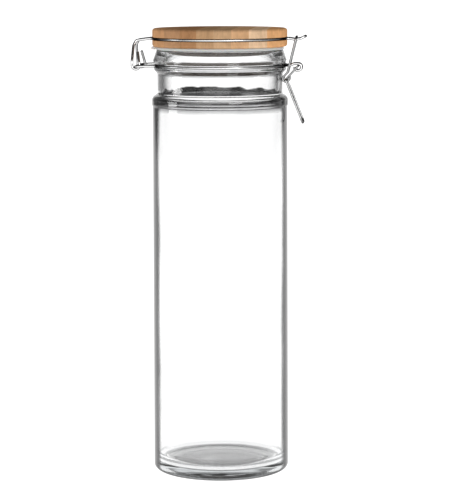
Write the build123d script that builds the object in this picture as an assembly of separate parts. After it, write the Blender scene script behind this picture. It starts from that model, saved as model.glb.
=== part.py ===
from build123d import *
import math
import os

# A tall clip-top storage jar. Millimetres, +Z up, standing on z = 0 with the jar axis on Z.
# The lid hinge is on the -X side and the latch on the +X side; every wire is symmetric about y = 0.

# Glass jar
BODY_BASE_R = 51.2
BODY_TOP_R = 50.5
HEEL_R = 3.8
STAND_INNER_R = 37.0
PUNT_H = 3.0
FLOOR_Z = 6.2
FLOOR_RISE = 0.6
FLOOR_FILLET = 10.0
FLOOR_FLAT_W = 12.0
BODY_INNER_R = 47.2
SHOULDER_Z = 285.1
SHOULDER_BEAD_R = 51.1
SHOULDER_BEAD_Z = 277.0
SHOULDER_ROUND = 4.8
INNER_SHOULDER_Z = 279.5
NECK_R = 46.9
NECK_INNER_R = 43.4
NECK_TOP_Z = 300.4
COLLAR_R = 50.0
BEAD_R = 49.4
RIM_OUTER_R = 47.6
RIM_Z = 318.05
STAND_LIP_W = 2.4
STAND_LIP_H = 2.1
STAND_ROUND = 1.4
RIM_EDGE_W = 1.2
MOUTH_ROUND = 1.6
NECK_INNER_ROUND = 5.0

# The wire groove in the neck, as heights below and above the neck ring's centre
BEAD_EDGE_BELOW = 1.6
GROOVE_FLOOR_BELOW = 1.2
GROOVE_FLOOR_ABOVE = 1.5
GROOVE_LIP_ABOVE = 2.1
COLLAR_EDGE_ABOVE = 4.0
BEAD_RISE = 2.8

# Wires
RING_WIRE_R = 1.0
LATCH_WIRE_R = 0.75
PIN_GAP = 0.05
WIRE_END_ROUND = 0.3
BRANCH_BEND_R = 3.0

# Neck ring, in a groove between the collar and the bead
RING_Z = 306.5
RING_R = 50.1
GROOVE_GAP = 0.05
HINGE_BAR_Y = 20.5
AXLE_X = -61.25
AXLE_Z = 306.1
AXLE_CORNER_R = 2.2
AXLE_ARM_STEP_X = 8.0
AXLE_ARM_BEND_R = 6.0
LATCH_BAR_Y = 3.2
EYE_X = 58.6
EYE_TOP_Z = 307.7
EYE_R = 2.6
EYE_NECK_START = 5.6
EYE_NECK_END = 3.0
EYE_NECK_BEND_R = 3.0

# Lid
LID_R = 50.4
LID_Z = 320.4
LID_TOP_Z = 334.1
LID_EDGE_R = 2.1
LID_WIRE_Z = 326.4
LID_WIRE_CENTRE_R = 49.3
LID_GROOVE_H = 2.2
STRIP_COUNT = 8
GROOVE_LIP_ROUND = 0.4
GROOVE_FLOOR_ROUND = 0.3
PLUG_R = 42.4
PLUG_BOTTOM_R = 41.2
PLUG_Z = 313.2
PLUG_EDGE_R = 1.6
SEAL_INNER_R = 42.5
SEAL_R = 47.8
SEAL_Z = 318.2
SEAL_TAB_X = -51.0
SEAL_TAB_W = 12.0
SEAL_TAB_T = 1.9
SEAL_TAB_LIFT = 0.15
SEAL_TAB_ROUND = 2.5
SEAL_EDGE_R = 0.6
SEAL_TAB_OVERLAP = 1.5

# Lid wire: nose for the latch loop on +X, hooks round the hinge axle on -X
NOSE_Y = 3.9
NOSE_TIP_X = 64.2
NOSE_TIP_Y = 3.0
NOSE_TIP_Z = 328.1
NOSE_VALLEY_X = 56.6
NOSE_VALLEY_Z = 325.7
HINGE_ARM_Y = 6.5
HOOK_Y = 16.0
HOOK_R = 2.85
PRONG_LEAN = 11.4
PRONG_TIP_Y = 11.0
PRONG_LENGTH = 9.3
ARM_RUN_OUT = 2.2

# Latch lever: pivot pins in the ring eyes, a cranked pair of pins for the link, and a U handle
CRANK_X = 49.6
CRANK_Z = 296.0
CRANK_Y = 5.2
PIVOT_PIN_END_Y = 1.9
HANDLE_Y = 8.8
HANDLE_END_X = 62.4
HANDLE_END_Z = 264.0
HANDLE_CORNER_R = 3.5
LEVER_BEND_R = 1.0

# Latch link: a loop from the crank pins up and over the nose
LINK_Y = 7.0
LINK_TOP_X = 57.5
LINK_TOP_CORNER_R = 3.0
LINK_EYE_R = 2.3
LINK_NECK = 4.6
LINK_REST_GAP = 0.3
LINK_EYE_END = 50.0


def polar(centre, radius, degrees, y):
    """A point on a circle drawn in the plane at y, measured from +X towards +Z."""
    angle = math.radians(degrees)
    return Vector(centre[0] + radius * math.cos(angle), y, centre[1] + radius * math.sin(angle))


def rounded_run(corners):
    """Straight edges through the corners, each (point, radius), joined by tangent arcs."""
    edges = []
    start = corners[0][0]
    for index in range(1, len(corners) - 1):
        corner, radius = corners[index]
        back = (corners[index - 1][0] - corner).normalized()
        ahead = (corners[index + 1][0] - corner).normalized()
        half = math.radians(back.get_angle(ahead)) / 2
        reach = radius / math.tan(half)
        middle = corner + (back + ahead).normalized() * (radius / math.sin(half) - radius)
        edges.append(Edge.make_line(start, corner + back * reach))
        edges.append(Edge.make_three_point_arc(corner + back * reach, middle, corner + ahead * reach))
        start = corner + ahead * reach
    edges.append(Edge.make_line(start, corners[-1][0]))
    return edges


def circle_run(centre, radius, start, sweep, y):
    """An arc in the plane at y, sweep degrees from start."""
    return Edge.make_three_point_arc(
        polar(centre, radius, start, y),
        polar(centre, radius, start + sweep / 2, y),
        polar(centre, radius, start + sweep, y),
    )


def ring_branch(ring_r, bar_y, bend_r, z, side):
    """Where a ring at y < 0 turns outward into a bar along X: ring point, arc middle, bar point."""
    centre_x = side * math.sqrt((ring_r + bend_r) ** 2 - (bar_y + bend_r) ** 2)
    centre = Vector(centre_x, -(bar_y + bend_r), z)
    inward = Vector(-centre.X, -centre.Y, 0).normalized()
    sideways = Vector(0, 1, 0)
    ring_point = centre + inward * bend_r
    bar_point = centre + sideways * bend_r
    middle = centre + (inward + sideways).normalized() * bend_r
    return ring_point, middle, bar_point


def front_arc(left, right, ring_r, z):
    """The ring's own arc between two branches, round the -Y side."""
    return Edge.make_three_point_arc(left, Vector(0, -ring_r, z), right)


def wire_solid(edges, wire_r):
    """Sweep a round wire along the edges and fuse its mirror image across y = 0."""
    path = Wire(edges)
    section = Plane(origin=path @ 0, z_dir=path % 0) * Circle(wire_r)
    half = sweep(section, path=path)
    return half + mirror(half, about=Plane.XZ)


def soften_ends(wire):
    """Break the sharp edge at each cut end of a wire."""
    cuts = [f for f in wire.faces() if f.geom_type == GeomType.PLANE]
    return fillet([e for f in cuts for e in f.edges()], WIRE_END_ROUND)


def jar_outer():
    """Outside of the jar from the punt to the rim: each corner is (radius, height, rounding)."""
    groove_r = RING_R - RING_WIRE_R - GROOVE_GAP
    outline = [
        (STAND_INNER_R - STAND_LIP_W, STAND_LIP_H, 0),
        (STAND_INNER_R, 0, STAND_ROUND),
        (BODY_BASE_R, 0, HEEL_R),
        (BODY_TOP_R, SHOULDER_BEAD_Z - 1.2, 2.0),
        (SHOULDER_BEAD_R, SHOULDER_BEAD_Z + 0.4, 2.0),
        (SHOULDER_BEAD_R, SHOULDER_Z - 0.4, SHOULDER_ROUND),
        (NECK_R, SHOULDER_Z, 1.0),
        (NECK_R, NECK_TOP_Z, 2.0),
        (BEAD_R, NECK_TOP_Z + BEAD_RISE, 0.8),
        (BEAD_R, RING_Z - BEAD_EDGE_BELOW, 0.35),
        (groove_r, RING_Z - GROOVE_FLOOR_BELOW, 0.4),
        (groove_r, RING_Z + GROOVE_FLOOR_ABOVE, 0.4),
        (BEAD_R, RING_Z + GROOVE_LIP_ABOVE, 0.6),
        (COLLAR_R, RING_Z + COLLAR_EDGE_ABOVE, 1.5),
        (RIM_OUTER_R, RIM_Z - 0.4, 0.6),
        (RIM_OUTER_R - RIM_EDGE_W, RIM_Z, 0.8),
        (NECK_INNER_R, RIM_Z, 0),
    ]
    return [(Vector(r, 0, z), radius) for r, z, radius in outline]


def jar_inner():
    """Inside of the jar from the mouth to the floor: each corner is (radius, height, rounding)."""
    outline = [
        (NECK_INNER_R, RIM_Z, MOUTH_ROUND),
        (NECK_INNER_R, INNER_SHOULDER_Z + 3.5, NECK_INNER_ROUND),
        (BODY_INNER_R, INNER_SHOULDER_Z - 1.0, NECK_INNER_ROUND),
        (BODY_INNER_R, FLOOR_Z, FLOOR_FILLET),
        (BODY_INNER_R - FLOOR_FLAT_W, FLOOR_Z, 0),
    ]
    return [(Vector(r, 0, z), radius) for r, z, radius in outline]


def dome_arc(edge_point, top_z):
    """An arc centred on the jar axis, from a point off the axis up to top_z on it."""
    rise = top_z - edge_point.Z
    sphere_r = (edge_point.X ** 2 + rise ** 2) / (2 * rise)
    half_angle = math.asin(edge_point.X / sphere_r) / 2
    middle = Vector(sphere_r * math.sin(half_angle), 0, top_z - sphere_r * (1 - math.cos(half_angle)))
    return Edge.make_three_point_arc(edge_point, middle, Vector(0, 0, top_z))


def make_glass_jar():
    punt_edge = jar_outer()[0][0]
    floor_edge = jar_inner()[-1][0]
    walls = rounded_run(jar_outer()[:-1] + jar_inner())
    floor_arc = dome_arc(floor_edge, FLOOR_Z + FLOOR_RISE)
    punt_arc = dome_arc(punt_edge, PUNT_H)
    axis_line = Edge.make_line(floor_arc @ 1, punt_arc @ 1)
    profile = Face(Wire(walls + [floor_arc, axis_line, punt_arc]))
    return revolve(profile, axis=Axis.Z)


def make_neck_ring():
    """Ring round the neck with a hinge axle on -X and two latch eyes on +X."""
    hinge_branch = ring_branch(RING_R, HINGE_BAR_Y, BRANCH_BEND_R, RING_Z, -1)
    latch_branch = ring_branch(RING_R, LATCH_BAR_Y, BRANCH_BEND_R, RING_Z, 1)
    hinge_bar = rounded_run([
        (Vector(AXLE_X, 0, AXLE_Z), 0),
        (Vector(AXLE_X, -HINGE_BAR_Y, AXLE_Z), AXLE_CORNER_R),
        (Vector(AXLE_X + AXLE_ARM_STEP_X, -HINGE_BAR_Y, RING_Z), AXLE_ARM_BEND_R),
        (hinge_branch[2], 0),
    ])
    hinge_bend = Edge.make_three_point_arc(hinge_branch[2], hinge_branch[1], hinge_branch[0])
    ring = front_arc(hinge_branch[0], latch_branch[0], RING_R, RING_Z)
    latch_bend = Edge.make_three_point_arc(*latch_branch)
    latch_bar = rounded_run([
        (latch_branch[2], 0),
        (Vector(EYE_X - EYE_NECK_START, -LATCH_BAR_Y, RING_Z), EYE_NECK_BEND_R),
        (Vector(EYE_X - EYE_NECK_END, -LATCH_BAR_Y, EYE_TOP_Z), EYE_NECK_BEND_R),
        (Vector(EYE_X, -LATCH_BAR_Y, EYE_TOP_Z), 0),
    ])
    eye = circle_run((EYE_X, EYE_TOP_Z - EYE_R), EYE_R, 90, -270, -LATCH_BAR_Y)
    ring_wire = wire_solid(hinge_bar + [hinge_bend, ring, latch_bend] + latch_bar + [eye], RING_WIRE_R)
    return soften_ends(ring_wire)


def make_lid_wire():
    """Ring in the lid groove with the latch nose on +X and the two hinge hooks on -X."""
    nose_branch = ring_branch(LID_WIRE_CENTRE_R, NOSE_Y, BRANCH_BEND_R, LID_WIRE_Z, 1)
    arm_branch = ring_branch(LID_WIRE_CENTRE_R, HINGE_ARM_Y, BRANCH_BEND_R, LID_WIRE_Z, -1)
    hook_centre = (AXLE_X, AXLE_Z + HOOK_R - 2 * RING_WIRE_R - PIN_GAP)
    nose = rounded_run([
        (Vector(NOSE_TIP_X, 0, NOSE_TIP_Z), 0),
        (Vector(NOSE_TIP_X, -NOSE_TIP_Y, NOSE_TIP_Z), 2.4),
        (Vector(NOSE_TIP_X - 3.6, -NOSE_Y, NOSE_TIP_Z - 1.7), 4.0),
        (Vector(NOSE_VALLEY_X, -NOSE_Y, NOSE_VALLEY_Z), 3.0),
        (Vector(LID_R + ARM_RUN_OUT, -NOSE_Y, LID_WIRE_Z), 3.0),
        (nose_branch[2], 0),
    ])
    nose_bend = Edge.make_three_point_arc(nose_branch[2], nose_branch[1], nose_branch[0])
    ring = front_arc(nose_branch[0], arm_branch[0], LID_WIRE_CENTRE_R, LID_WIRE_Z)
    arm_bend = Edge.make_three_point_arc(*arm_branch)
    arm_x = hook_centre[0] - HOOK_R
    arm = rounded_run([
        (arm_branch[2], 0),
        (Vector(-LID_R - ARM_RUN_OUT, -HINGE_ARM_Y, LID_WIRE_Z), 4.0),
        (Vector(arm_x + 2.2, -HINGE_ARM_Y - 0.8, LID_WIRE_Z - 1.2), 2.6),
        (Vector(arm_x + 0.3, -HINGE_ARM_Y - 2.4, LID_WIRE_Z - 5.0), 6.0),
        (Vector(arm_x, -HOOK_Y, hook_centre[1] + 3.0), 5.0),
        (Vector(arm_x, -HOOK_Y, hook_centre[1]), 0),
    ])
    hook = circle_run(hook_centre, HOOK_R, 180, 180 + PRONG_LEAN, -HOOK_Y)
    prong_start = polar(hook_centre, HOOK_R, PRONG_LEAN, -HOOK_Y)
    prong_tip = prong_start + polar((0, 0), PRONG_LENGTH, 90 + PRONG_LEAN, HOOK_Y - PRONG_TIP_Y)
    prong = rounded_run([
        (prong_start, 0),
        (prong_start + polar((0, 0), 1.6, 90 + PRONG_LEAN, 0), 4.0),
        (prong_tip, 0),
    ])
    lid_wire = wire_solid(nose + [nose_bend, ring, arm_bend] + arm + [hook] + prong, RING_WIRE_R)
    return soften_ends(lid_wire)


def lid_blank():
    """The turned lid before it is divided into strips: rounded edges and a groove for the wire."""
    groove_r = LID_WIRE_CENTRE_R - RING_WIRE_R - GROOVE_GAP
    groove_low = LID_WIRE_Z - LID_GROOVE_H / 2
    groove_high = LID_WIRE_Z + LID_GROOVE_H / 2
    side = rounded_run([
        (Vector(0, 0, LID_Z), 0),
        (Vector(LID_R, 0, LID_Z), LID_EDGE_R),
        (Vector(LID_R, 0, groove_low), GROOVE_LIP_ROUND),
        (Vector(groove_r, 0, groove_low), GROOVE_FLOOR_ROUND),
        (Vector(groove_r, 0, groove_high), GROOVE_FLOOR_ROUND),
        (Vector(LID_R, 0, groove_high), GROOVE_LIP_ROUND),
        (Vector(LID_R, 0, LID_TOP_Z), LID_EDGE_R),
        (Vector(0, 0, LID_TOP_Z), 0),
    ])
    axis_line = Edge.make_line(Vector(0, 0, LID_TOP_Z), Vector(0, 0, LID_Z))
    return revolve(Face(Wire(side + [axis_line])), axis=Axis.Z)


def make_lid_strips():
    """The glued bamboo strips of the lid, from the hinge side to the latch side."""
    blank = lid_blank()
    width = 2 * LID_R / STRIP_COUNT
    strips = {}
    for index in range(STRIP_COUNT):
        centre_x = -LID_R + width * (index + 0.5)
        slab = Pos(centre_x, 0, (LID_Z + LID_TOP_Z) / 2) * Box(width, 3 * LID_R, 2 * (LID_TOP_Z - LID_Z))
        strips[f"lid_strip_{index + 1}"] = blank & slab
    return strips


def make_lid_plug():
    """Tapered disc glued under the lid; it centres the lid in the mouth."""
    side = rounded_run([
        (Vector(0, 0, PLUG_Z), 0),
        (Vector(PLUG_BOTTOM_R, 0, PLUG_Z), PLUG_EDGE_R),
        (Vector(PLUG_R, 0, LID_Z), 0),
    ])
    top = Edge.make_line(Vector(PLUG_R, 0, LID_Z), Vector(0, 0, LID_Z))
    axis_line = Edge.make_line(Vector(0, 0, LID_Z), Vector(0, 0, PLUG_Z))
    return revolve(Face(Wire(side + [top, axis_line])), axis=Axis.Z)


def make_lid_seal():
    """Silicone ring held on the plug, with a pull tab towards the hinge."""
    ring = Pos(0, 0, SEAL_Z) * extrude(Circle(SEAL_R) - Circle(SEAL_INNER_R), LID_Z - SEAL_Z)
    ring = fillet(ring.edges().group_by(SortBy.LENGTH)[-1], SEAL_EDGE_R)
    tab_length = -SEAL_TAB_X - SEAL_INNER_R - SEAL_TAB_OVERLAP
    tab_x = SEAL_TAB_X + tab_length / 2
    tab = Pos(tab_x, 0, SEAL_Z + SEAL_TAB_LIFT) * extrude(Rectangle(tab_length, SEAL_TAB_W), SEAL_TAB_T)
    tab_corners = tab.edges().filter_by(Axis.Z).group_by(Axis.X)[0]
    return ring + fillet(tab_corners, SEAL_TAB_ROUND)


def make_latch_lever():
    """Pivot pins, crank and U handle bent from one wire."""
    pivot_z = EYE_TOP_Z - RING_WIRE_R - LATCH_WIRE_R - PIN_GAP
    lever = rounded_run([
        (Vector(HANDLE_END_X, 0, HANDLE_END_Z), 0),
        (Vector(HANDLE_END_X, -HANDLE_Y, HANDLE_END_Z), HANDLE_CORNER_R),
        (Vector(CRANK_X, -HANDLE_Y, CRANK_Z), LEVER_BEND_R),
        (Vector(CRANK_X, -CRANK_Y, CRANK_Z), LEVER_BEND_R),
        (Vector(EYE_X, -CRANK_Y, pivot_z), LEVER_BEND_R),
        (Vector(EYE_X, -PIVOT_PIN_END_Y, pivot_z), 0),
    ])
    return soften_ends(wire_solid(lever, LATCH_WIRE_R))


def make_latch_link():
    """Loop that hooks over the nose, with an eye round each crank pin."""
    crank = Vector(CRANK_X, 0, CRANK_Z)
    top_z = NOSE_VALLEY_Z + RING_WIRE_R + LATCH_WIRE_R + LINK_REST_GAP
    up = (Vector(LINK_TOP_X, 0, top_z) - crank).normalized()
    lean = math.degrees(math.atan2(up.Z, up.X))
    eye_centre = crank + up * (LINK_EYE_R - 2 * LATCH_WIRE_R - PIN_GAP)
    neck = eye_centre + up * LINK_NECK + Vector(0, -LINK_Y, 0)
    touch = math.degrees(math.acos(LINK_EYE_R / LINK_NECK))
    centre = (eye_centre.X, eye_centre.Z)
    strand = rounded_run([
        (Vector(LINK_TOP_X, 0, top_z), 0),
        (Vector(LINK_TOP_X, -LINK_Y, top_z), LINK_TOP_CORNER_R),
        (neck, 3.0),
        (polar(centre, LINK_EYE_R, lean + touch, -LINK_Y), 0),
    ])
    eye = circle_run(centre, LINK_EYE_R, lean + touch, 360 - touch - LINK_EYE_END, -LINK_Y)
    return soften_ends(wire_solid(strand + [eye], LATCH_WIRE_R))


def main():
    nodes = {
        "glass_jar": make_glass_jar(),
        "neck_ring": make_neck_ring(),
        "lid_wire": make_lid_wire(),
        "lid_plug": make_lid_plug(),
        "lid_seal": make_lid_seal(),
        "latch_lever": make_latch_lever(),
        "latch_link": make_latch_link(),
    }
    nodes.update(make_lid_strips())
    os.makedirs("parts", exist_ok=True)
    for name, shape in nodes.items():
        solids = shape.solids()
        print(name, len(solids), round(shape.volume, 1), shape.is_valid)
        export_step(shape, f"parts/{name}.step")


main()
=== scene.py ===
import math

import bpy
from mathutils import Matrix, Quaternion, Vector

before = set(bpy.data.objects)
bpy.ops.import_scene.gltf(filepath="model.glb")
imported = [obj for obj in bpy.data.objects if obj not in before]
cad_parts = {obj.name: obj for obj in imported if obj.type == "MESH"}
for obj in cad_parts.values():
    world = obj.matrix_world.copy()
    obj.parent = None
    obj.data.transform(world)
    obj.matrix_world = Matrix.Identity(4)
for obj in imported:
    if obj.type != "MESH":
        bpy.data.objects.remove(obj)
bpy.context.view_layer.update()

# Studio: world strengths, then the parts of the unit direction between which they fall off
HORIZON_LIGHT = 1.10
CEILING_LIGHT = 0.06
SIDE_LIGHT = 0.25
HORIZON_TOP = 0.35
CEILING_START = 0.75
FRONT_EDGE = 0.50
SIDE_START = 0.95

# Paper sweep: metres, and the strength of its glow on the paper and beyond it
PAPER_HALF_W = 1.7
PAPER_FADE_W = 0.6
PAPER_GLOW = 1.12
ROOM_GLOW = 0.30
SWEEP_HALF_W = 6.0
SWEEP_FRONT = -6.0
SWEEP_BACK = 4.0
SWEEP_H = 6.0
SWEEP_BEND_R = 1.5
SWEEP_BEND_STEPS = 12

# Heights and radii on the glass jar, in metres, where its painted shade changes
BASE_TOP = 0.0068
SHOULDER_LOW = 0.272
BEAD_LOW = 0.278
SHOULDER_HIGH = 0.2868
NECK_LOW = 0.2885
COLLAR_LOW = 0.2985
COLLAR_HIGH = 0.3045
HAZE_LOW = 0.309
INNER_WALL_R = 0.0473
NECK_INNER_R = 0.0434
WALL_FADE = 0.0003
WAVE_HEIGHT = 0.0015
CLEAR = (0.99, 0.99, 0.99)

# Camera
CAMERA_AZIMUTH = 5.3
CAMERA_DISTANCE = 1.600
CAMERA_HEIGHT = 0.382
CAMERA_ROLL = -0.17
CAMERA_LENS = 153.7
AIM_HEIGHT = 0.16693
AIM_RIGHT = 0.0094
LIGHT_TARGET = (0, 0, 0.30)

STRIPS = [f"lid_strip_{index}" for index in range(1, 9)]


# ---------------------------------------------------------------- material helpers

class Shader:
    """A node material with a Principled BSDF and short calls to add and link nodes."""

    def __init__(self, name, **sockets):
        self.material = bpy.data.materials.new(name)
        self.material.use_nodes = True
        self.tree = self.material.node_tree
        self.bsdf = self.tree.nodes["Principled BSDF"]
        self.output = self.tree.nodes["Material Output"]
        for socket, value in sockets.items():
            self.bsdf.inputs[socket.replace("_", " ")].default_value = value

    def node(self, kind, settings=None, **inputs):
        made = self.tree.nodes.new(kind)
        for name, value in (settings or {}).items():
            setattr(made, name, value)
        for name, value in inputs.items():
            socket = made.inputs[name.replace("_", " ")]
            if isinstance(value, bpy.types.NodeSocket):
                self.tree.links.new(value, socket)
            else:
                socket.default_value = value
        return made

    def feed(self, value, socket):
        self.tree.links.new(value, self.bsdf.inputs[socket])

    def position(self, scale=(1, 1, 1), shift=(0, 0, 0)):
        place = self.node("ShaderNodeTexCoord").outputs["Object"]
        return self.node("ShaderNodeMapping", Vector=place, Scale=scale, Location=shift).outputs["Vector"]

    def noise(self, vector, scale, detail=4, roughness=0.5):
        made = self.node("ShaderNodeTexNoise", Vector=vector, Scale=scale,
                         Detail=detail, Roughness=roughness)
        return made.outputs["Fac"]

    def ramp(self, factor, stops):
        """A colour ramp: the first two stops are its ends, the rest go between them."""
        made = self.node("ShaderNodeValToRGB", Fac=factor)
        for index, (place, colour) in enumerate(stops):
            if index < 2:
                element = made.color_ramp.elements[index]
                element.position = place
            else:
                element = made.color_ramp.elements.new(place)
            element.color = (*colour, 1)
        return made.outputs["Color"]

    def fade(self, value, low, high, to_low=0.0, to_high=1.0):
        made = self.node("ShaderNodeMapRange", Value=value, From_Min=low, From_Max=high,
                         To_Min=to_low, To_Max=to_high)
        return made.outputs["Result"]

    def mix(self, factor, first, second, blend="MIX"):
        made = self.node("ShaderNodeMix", {"data_type": "RGBA", "blend_type": blend})
        for place, value in ((0, factor), (6, first), (7, second)):
            if isinstance(value, bpy.types.NodeSocket):
                self.tree.links.new(value, made.inputs[place])
            else:
                made.inputs[place].default_value = value
        return made.outputs[2]

    def calculate(self, operation, *values):
        made = self.node("ShaderNodeMath", {"operation": operation})
        for index, value in enumerate(values):
            self.tree.links.new(value, made.inputs[index])
        return made.outputs["Value"]

    def product(self, first, second):
        return self.calculate("MULTIPLY", first, second)

    def facing(self):
        """0 where the surface faces the viewer, 1 where it is seen edge on."""
        return self.node("ShaderNodeLayerWeight", Blend=0.5).outputs["Facing"]

    def band(self, value, low, high, fade_w):
        """1 between low and high, fading to 0 below and above."""
        return self.product(self.fade(value, low, low + fade_w),
                            self.fade(value, high, high + fade_w, 1.0, 0.0))

    def turned_coordinates(self):
        """Height, distance from the upright axis, and slope: 0 on a wall, 1 on a level surface."""
        coords = self.node("ShaderNodeTexCoord")
        place = self.node("ShaderNodeSeparateXYZ", Vector=coords.outputs["Object"])
        level = self.node("ShaderNodeVectorMath", {"operation": "MULTIPLY"})
        self.tree.links.new(coords.outputs["Object"], level.inputs[0])
        level.inputs[1].default_value = (1, 1, 0)
        radius = self.node("ShaderNodeVectorMath", {"operation": "LENGTH"})
        self.tree.links.new(level.outputs["Vector"], radius.inputs[0])
        normal = self.node("ShaderNodeSeparateXYZ", Vector=coords.outputs["Normal"])
        slope = self.calculate("ABSOLUTE", normal.outputs["Z"])
        return place.outputs["Z"], radius.outputs["Value"], slope

    def bump(self, height, strength, distance):
        made = self.node("ShaderNodeBump", Height=height, Strength=strength, Distance=distance)
        self.feed(made.outputs["Normal"], "Normal")


def paint(node, material):
    """Give a CAD node one material."""
    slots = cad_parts[node].data.materials
    slots.clear()
    slots.append(material)


# ---------------------------------------------------------------- materials

def painted_edge_shade(shader, facing, height, radius):
    """Clear glass with painted shade, dark edge lines, where its outer surface is seen nearly edge on."""
    # painted shade: the body wall turns near black as it is seen edge on
    body_edge_shade = shader.ramp(facing, [(0.55, CLEAR), (0.95, (0.0002, 0.0002, 0.0002)),
                                     (0.585, (0.45, 0.45, 0.452)), (0.62, (0.05, 0.05, 0.051)),
                                     (0.67, (0.0006, 0.0006, 0.0006))])
    # painted shade on the neck's edges, lighter than on the body
    neck_edge_shade = shader.ramp(facing, [(0.42, CLEAR), (0.95, (0.01, 0.01, 0.01)),
                                     (0.53, (0.66, 0.66, 0.662)), (0.63, (0.32, 0.32, 0.322)),
                                     (0.76, (0.06, 0.06, 0.061))])
    outside = shader.fade(radius, INNER_WALL_R, INNER_WALL_R + WALL_FADE)
    body = shader.mix(outside, (*CLEAR, 1), body_edge_shade)
    return shader.mix(shader.fade(height, SHOULDER_HIGH, NECK_LOW), body, neck_edge_shade)


def painted_base_shade(shader, shaded_colour, height, slope):
    """Painted shade: grey the thick base, most of all where it is level."""
    grey = shader.ramp(slope, [(0.05, (0.74, 0.745, 0.75)), (0.35, (0.19, 0.192, 0.195)),
                               (0.97, (0.15, 0.152, 0.154))])
    low = shader.fade(height, BASE_TOP, BASE_TOP + 0.001, 1.0, 0.0)
    # painted shade multiplied into the glass below BASE_TOP
    return shader.mix(low, shaded_colour, shader.mix(1.0, shaded_colour, grey, "MULTIPLY"))


def painted_collar_shade(shader, shaded_colour, height):
    """Painted shade: grey the bead under the neck ring a little."""
    collar = shader.band(height, COLLAR_LOW, COLLAR_HIGH, 0.0006)
    # painted shade under the neck ring
    return shader.mix(collar, shaded_colour, shader.mix(1.0, shaded_colour, (0.78, 0.78, 0.785, 1), "MULTIPLY"))


def painted_shoulder_shade(shader, shaded_colour, height, radius):
    """Painted shade: darken the shoulder's inner wall, and its outer surface seen from inside, up to a
    wavy edge.
    """
    waves = shader.noise(shader.position((1, 1, 0.6)), 70, 2, 0.4)
    wavy = shader.calculate("ADD", height, shader.fade(waves, 0.3, 0.7, -WAVE_HEIGHT, WAVE_HEIGHT))
    level = shader.product(shader.fade(height, SHOULDER_LOW, SHOULDER_LOW + 0.003),
                           shader.fade(wavy, SHOULDER_HIGH, SHOULDER_HIGH + 0.001, 1.0, 0.0))
    under_bead = shader.fade(height, BEAD_LOW, BEAD_LOW + 0.001, 1.0, 0.0)
    inner_wall = shader.fade(radius, INNER_WALL_R, INNER_WALL_R + WALL_FADE, 1.0, 0.0)
    inner = shader.product(shader.product(level, under_bead), inner_wall)
    # painted shade, mid grey, on the shoulder's inner wall
    shaded_colour = shader.mix(inner, shaded_colour, (0.32, 0.32, 0.325, 1))
    seen_from_inside = shader.node("ShaderNodeNewGeometry").outputs["Backfacing"]
    past_neck = shader.fade(radius, NECK_INNER_R + 0.001, NECK_INNER_R + 0.002)
    outer = shader.product(shader.product(level, seen_from_inside), past_neck)
    # painted shade, near black, on the outer shoulder seen from inside, grey lower down by the bead
    dark = shader.ramp(waves, [(0.45, (0.0, 0.0, 0.0)), (0.70, (0.03, 0.03, 0.031))])
    bead = shader.mix(shader.fade(height, BEAD_LOW, BEAD_LOW + 0.003), (0.25, 0.25, 0.255, 1), dark)
    return shader.mix(outer, shaded_colour, bead)


def glass_material():
    """Thick soda glass: clear face on, with painted shade at its edges, in the base, on the bead under
    the neck ring and on the shoulder.
    """
    shader = Shader("clear_glass", Roughness=0.0, IOR=1.5, Transmission_Weight=1.0)
    uneven = shader.noise(shader.position((1, 1, 0.35)), 40, 2, 0.4)
    facing = shader.calculate("ADD", shader.facing(), shader.fade(uneven, 0.3, 0.7, -0.03, 0.03))
    height, radius, slope = shader.turned_coordinates()
    shaded_colour = painted_edge_shade(shader, facing, height, radius)
    shaded_colour = painted_base_shade(shader, shaded_colour, height, slope)
    shaded_colour = painted_collar_shade(shader, shaded_colour, height)
    shaded_colour = painted_shoulder_shade(shader, shaded_colour, height, radius)
    shader.feed(shaded_colour, "Base Color")
    # painted shade: the reflection is dimmed where the surface is seen edge on
    reflection_dimmed_at_edges = shader.ramp(facing, [(0.46, (1.0, 1.0, 1.0)), (0.74, (0.04, 0.04, 0.042))])
    shader.feed(reflection_dimmed_at_edges, "Specular Tint")
    shader.feed(shader.fade(height, HAZE_LOW, HAZE_LOW + 0.002, 0.0, 0.10), "Roughness")
    ripple = shader.noise(shader.position((1, 1, 0.3)), 45, 2, 0.4)
    shader.bump(ripple, 0.12, 0.001)
    absorb = shader.node("ShaderNodeVolumeAbsorption", Color=(0.64, 0.66, 0.67, 1), Density=16.0)
    shader.tree.links.new(absorb.outputs["Volume"], shader.output.inputs["Volume"])
    return shader.material


def steel_material(name, brightness):
    """Bright drawn wire, with a painted highlight face on and painted shade towards its edges."""
    shader = Shader(name, Metallic=1.0, Specular_Tint=(0.08, 0.08, 0.085, 1))
    # painted highlight and shade: base colour falls from bright face on to dark at the edges
    tones = [(0.02, 0.94), (0.70, 0.08), (0.08, 0.70), (0.22, 0.42), (0.42, 0.20)]
    stops = [(place, 3 * (brightness * tone,)) for place, tone in tones]
    shader.feed(shader.ramp(shader.facing(), stops), "Base Color")
    scratches = shader.noise(shader.position(), 900, 3, 0.6)
    shader.feed(shader.fade(scratches, 0.3, 0.7, 0.18, 0.32), "Roughness")
    shader.bump(scratches, 0.05, 0.0001)
    return shader.material


def silicone_material():
    """Pale translucent rubber with a fine uneven gloss."""
    shader = Shader("silicone", Base_Color=(0.95, 0.87, 0.81, 1), Roughness=0.45, IOR=1.41,
                    Transmission_Weight=0.35, Subsurface_Weight=0.3)
    dust = shader.noise(shader.position(), 700, 3, 0.6)
    shader.feed(shader.fade(dust, 0.3, 0.7, 0.4, 0.55), "Roughness")
    return shader.material


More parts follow.
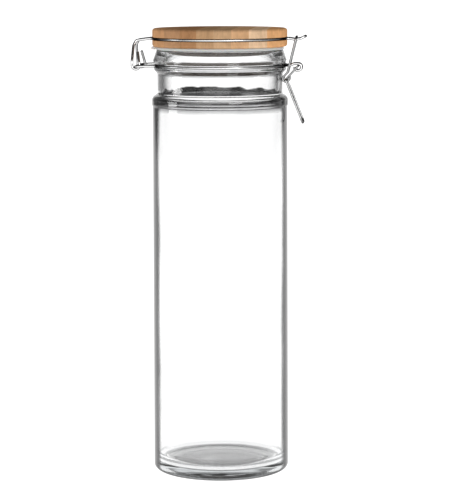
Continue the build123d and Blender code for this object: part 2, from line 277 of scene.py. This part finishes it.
def bamboo_material(name, light, dark, seed):
    """Glued bamboo: long fibres along Y, darker nodes and specks, an end grain of small dots."""
    shader = Shader(name, Roughness=0.6, Specular_IOR_Level=0.0)
    fibre_space = shader.position((900, 14, 260), (seed * 3.7, seed * 1.3, seed * 2.1))
    fibres = shader.noise(fibre_space, 1.0, 4, 0.6)
    streaks = shader.noise(shader.position((260, 3, 90), (seed * 5.1, seed, 0)), 1.0, 3, 0.5)
    blotches = shader.noise(shader.position((1, 1, 1), (seed, 0, 0)), 60, 3, 0.5)
    tone = shader.mix(0.5, shader.ramp(fibres, [(0.35, dark), (0.62, light)]),
                      shader.ramp(streaks, [(0.3, dark), (0.65, light)]))
    shade = shader.ramp(blotches, [(0.3, (0.86, 0.84, 0.82)), (0.7, (1.0, 1.0, 1.0))])
    shader.feed(shader.mix(1.0, tone, shade, "MULTIPLY"), "Base Color")
    shader.bump(fibres, 0.15, 0.0003)
    return shader.material


def paint_everything():
    paint("glass_jar", glass_material())
    ring_steel = steel_material("bright_wire", 1.0)
    for node in ("neck_ring", "lid_wire"):
        paint(node, ring_steel)
    latch_steel = steel_material("dull_wire", 0.55)
    for node in ("latch_lever", "latch_link"):
        paint(node, latch_steel)
    paint("lid_seal", silicone_material())
    tones = [(0.64, 0.35, 0.175), (0.51, 0.285, 0.15), (0.455, 0.24, 0.115), (0.55, 0.335, 0.18),
             (0.615, 0.39, 0.22), (0.74, 0.445, 0.24), (0.87, 0.60, 0.38), (0.86, 0.46, 0.21)]
    for index, (node, tone) in enumerate(zip(STRIPS, tones)):
        dark = tuple(0.72 * part for part in tone)
        paint(node, bamboo_material(f"bamboo_{index + 1}", tone, dark, index + 1.0))
    # painted shade: the bamboo plug is dark grey-brown for the shade it sits in under the lid, inside the
    # neck
    paint("lid_plug", bamboo_material("bamboo_plug", (0.19, 0.165, 0.145), (0.12, 0.105, 0.09), 20.0))


# ---------------------------------------------------------------- stage, light and camera

def floor_material():
    """White paper that glows like a light table and falls off to grey at its sides."""
    shader = Shader("floor_white", Base_Color=(0.18, 0.18, 0.18, 1), Roughness=0.9,
                    Emission_Color=(1, 1, 1, 1))
    place = shader.node("ShaderNodeTexCoord").outputs["Object"]
    split = shader.node("ShaderNodeSeparateXYZ", Vector=place)
    across = shader.calculate("ABSOLUTE", split.outputs["X"])
    glow = shader.fade(across, PAPER_HALF_W, PAPER_HALF_W + PAPER_FADE_W, PAPER_GLOW, ROOM_GLOW)
    shader.feed(glow, "Emission Strength")
    return shader.material


def make_floor():
    """A pale sweep: floor that curves up into a back wall far behind the object."""
    bend_start = SWEEP_BACK - SWEEP_BEND_R
    profile = [(SWEEP_FRONT, 0.0), (bend_start, 0.0)]
    for step in range(1, SWEEP_BEND_STEPS + 1):
        angle = math.radians(90 * step / SWEEP_BEND_STEPS)
        rise = SWEEP_BEND_R * (1 - math.cos(angle))
        profile.append((bend_start + SWEEP_BEND_R * math.sin(angle), rise))
    profile.append((SWEEP_BACK, SWEEP_H))
    vertices = [(x, y, z) for y, z in profile for x in (-SWEEP_HALF_W, SWEEP_HALF_W)]
    faces = [(2 * i, 2 * i + 1, 2 * i + 3, 2 * i + 2) for i in range(len(profile) - 1)]
    mesh = bpy.data.meshes.new("floor")
    mesh.from_pydata(vertices, [], faces)
    for face in mesh.polygons:
        face.use_smooth = True
    floor = bpy.data.objects.new("floor", mesh)
    bpy.context.scene.collection.objects.link(floor)
    floor.data.materials.append(floor_material())


def make_world():
    """Light round the horizon that is dimmer to the sides and falls off to a dim ceiling."""
    world = bpy.data.worlds.new("studio")
    world.use_nodes = True
    tree = world.node_tree
    background = tree.nodes["Background"]
    background.inputs["Color"].default_value = (1, 1, 1, 1)
    direction = tree.nodes.new("ShaderNodeTexCoord").outputs["Generated"]
    split = tree.nodes.new("ShaderNodeSeparateXYZ")
    tree.links.new(direction, split.inputs[0])
    across = tree.nodes.new("ShaderNodeMath")
    across.operation = "ABSOLUTE"
    tree.links.new(split.outputs["X"], across.inputs[0])
    strength = tree.nodes.new("ShaderNodeMath")
    strength.operation = "MULTIPLY"
    falls = (
        (split.outputs["Z"], HORIZON_TOP, CEILING_START, HORIZON_LIGHT, CEILING_LIGHT),
        (across.outputs["Value"], FRONT_EDGE, SIDE_START, 1.0, SIDE_LIGHT),
    )
    for index, (value, near, far, bright, dim) in enumerate(falls):
        fall = tree.nodes.new("ShaderNodeMapRange")
        fall.interpolation_type = "SMOOTHSTEP"
        fall.inputs["From Min"].default_value = near
        fall.inputs["From Max"].default_value = far
        fall.inputs["To Min"].default_value = bright
        fall.inputs["To Max"].default_value = dim
        tree.links.new(value, fall.inputs["Value"])
        tree.links.new(fall.outputs["Result"], strength.inputs[index])
    tree.links.new(strength.outputs["Value"], background.inputs["Strength"])
    bpy.context.scene.world = world


def area_light(name, place, size, power):
    """A rectangular lamp aimed at the lid."""
    light = bpy.data.lights.new(name, "AREA")
    light.shape = "RECTANGLE"
    light.size, light.size_y = size
    light.energy = power
    lamp = bpy.data.objects.new(name, light)
    lamp.location = place
    lamp.rotation_mode = "QUATERNION"
    lamp.rotation_quaternion = (Vector(LIGHT_TARGET) - Vector(place)).to_track_quat("-Z", "Y")
    bpy.context.scene.collection.objects.link(lamp)


def make_camera():
    """A long lens a little to the right of the front, just above the lid."""
    azimuth = math.radians(CAMERA_AZIMUTH)
    away = CAMERA_DISTANCE * Vector((math.sin(azimuth), -math.cos(azimuth), 0))
    place = away + Vector((0, 0, CAMERA_HEIGHT))
    right = Vector((math.cos(azimuth), math.sin(azimuth), 0))
    aim = Vector((0, 0, AIM_HEIGHT)) + right * AIM_RIGHT
    data = bpy.data.cameras.new("camera")
    data.sensor_width = 36
    data.lens = CAMERA_LENS
    data.clip_start = 0.05
    camera = bpy.data.objects.new("camera", data)
    camera.location = place
    camera.rotation_mode = "QUATERNION"
    look = (aim - place).to_track_quat("-Z", "Y")
    camera.rotation_quaternion = look @ Quaternion((0, 0, 1), math.radians(CAMERA_ROLL))
    bpy.context.scene.collection.objects.link(camera)
    bpy.context.scene.camera = camera


paint_everything()
make_floor()
make_world()
area_light("key", (0.9, -1.5, 0.75), (0.7, 0.7), 7)
area_light("fill", (-1.5, -0.25, 0.42), (0.5, 0.5), 4.5)
make_camera()
bpy.context.scene.view_settings.view_transform = "Standard"
